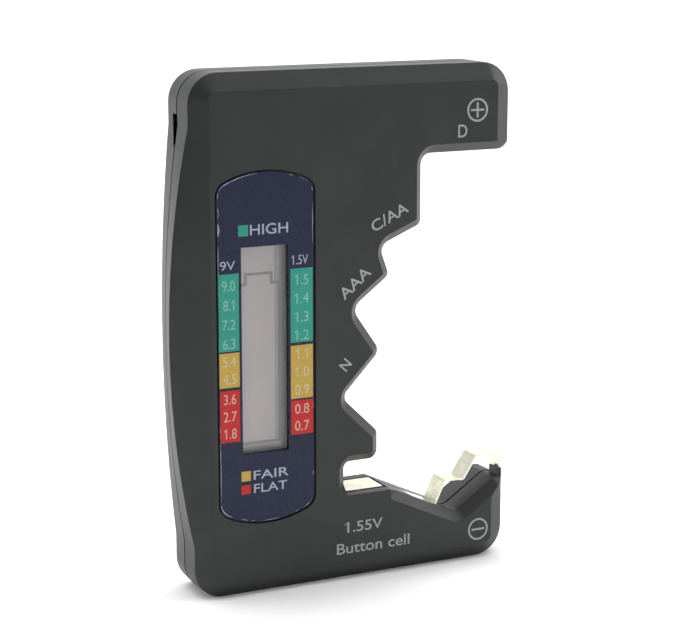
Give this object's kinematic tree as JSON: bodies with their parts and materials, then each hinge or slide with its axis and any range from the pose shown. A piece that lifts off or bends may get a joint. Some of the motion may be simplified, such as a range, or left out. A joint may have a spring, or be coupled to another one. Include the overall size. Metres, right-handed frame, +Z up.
{
  "type": "battery tester",
  "caption": "Hand-held battery tester: a flat two-shell case with a stepped jaw of fixed contacts, a bent spring contact on the lower post and a printed panel with a display window.",
  "frame": {"origin": "centre of the bottom edge's bounding box, on the surface the case stands on", "axes": "+X to the right, towards the open side of the jaw; +Y from the printed front face to the back; +Z up, along the height of the case"},
  "size_m": [0.0678, 0.0126, 0.095],
  "materials": {
    "case_plastic": "fine matte spark texture, near black, slightly worn edges",
    "panel_print": "glossy dark blue printed panel with coloured scales",
    "clear_window": "clear moulded window",
    "lcd_glass": "thin display glass with a warm grey tint",
    "lcd_backing": "satin grey reflective film",
    "zebra_rubber": "layered conductive rubber",
    "board": "green lacquered circuit board",
    "epoxy": "black blob of epoxy",
    "resistor": "black film resistors",
    "capacitor": "tan ceramic capacitors",
    "screw_steel": "zinc plated steel",
    "nickel": "nickel plated spring strip, warm and satin",
    "red_lead": "red insulated wire",
    "black_lead": "black insulated wire"
  },
  "bodies": {
    "case": {"front_shell": "case_plastic", "rear_shell": "case_plastic", "label_panel": "panel_print", "window_lens": "clear_window", "lcd_front_glass": "lcd_glass", "lcd_rear_glass": "lcd_glass", "lcd_reflector": "lcd_backing", "zebra_strip": "zebra_rubber", "circuit_board": "board", "chip_cap": "epoxy", "board_resistors": "resistor", "board_capacitors": "capacitor", "board_screws": "screw_steel", "case_screws": "screw_steel", "contact_d": "nickel", "contact_c_aa": "nickel", "contact_aaa": "nickel", "contact_n": "nickel", "button_cell_contact": "nickel", "button_cell_plate": "nickel", "spring_base": "nickel", "snap_contact_plus": "nickel", "snap_contact_minus": "nickel", "positive_leads": "red_lead", "negative_leads": "black_lead"},
    "spring": {"spring_contact": "nickel"}
  },
  "joints": [
    {"name": "spring_flex", "type": "hinge", "parent": "case", "child": "spring", "pos_m": [0.0196, -0.0013, 0.01105], "axis": [0, 1, 0], "range_deg": [0, 6], "stiffness_Nm_per_rad": 0.2}
  ]
}
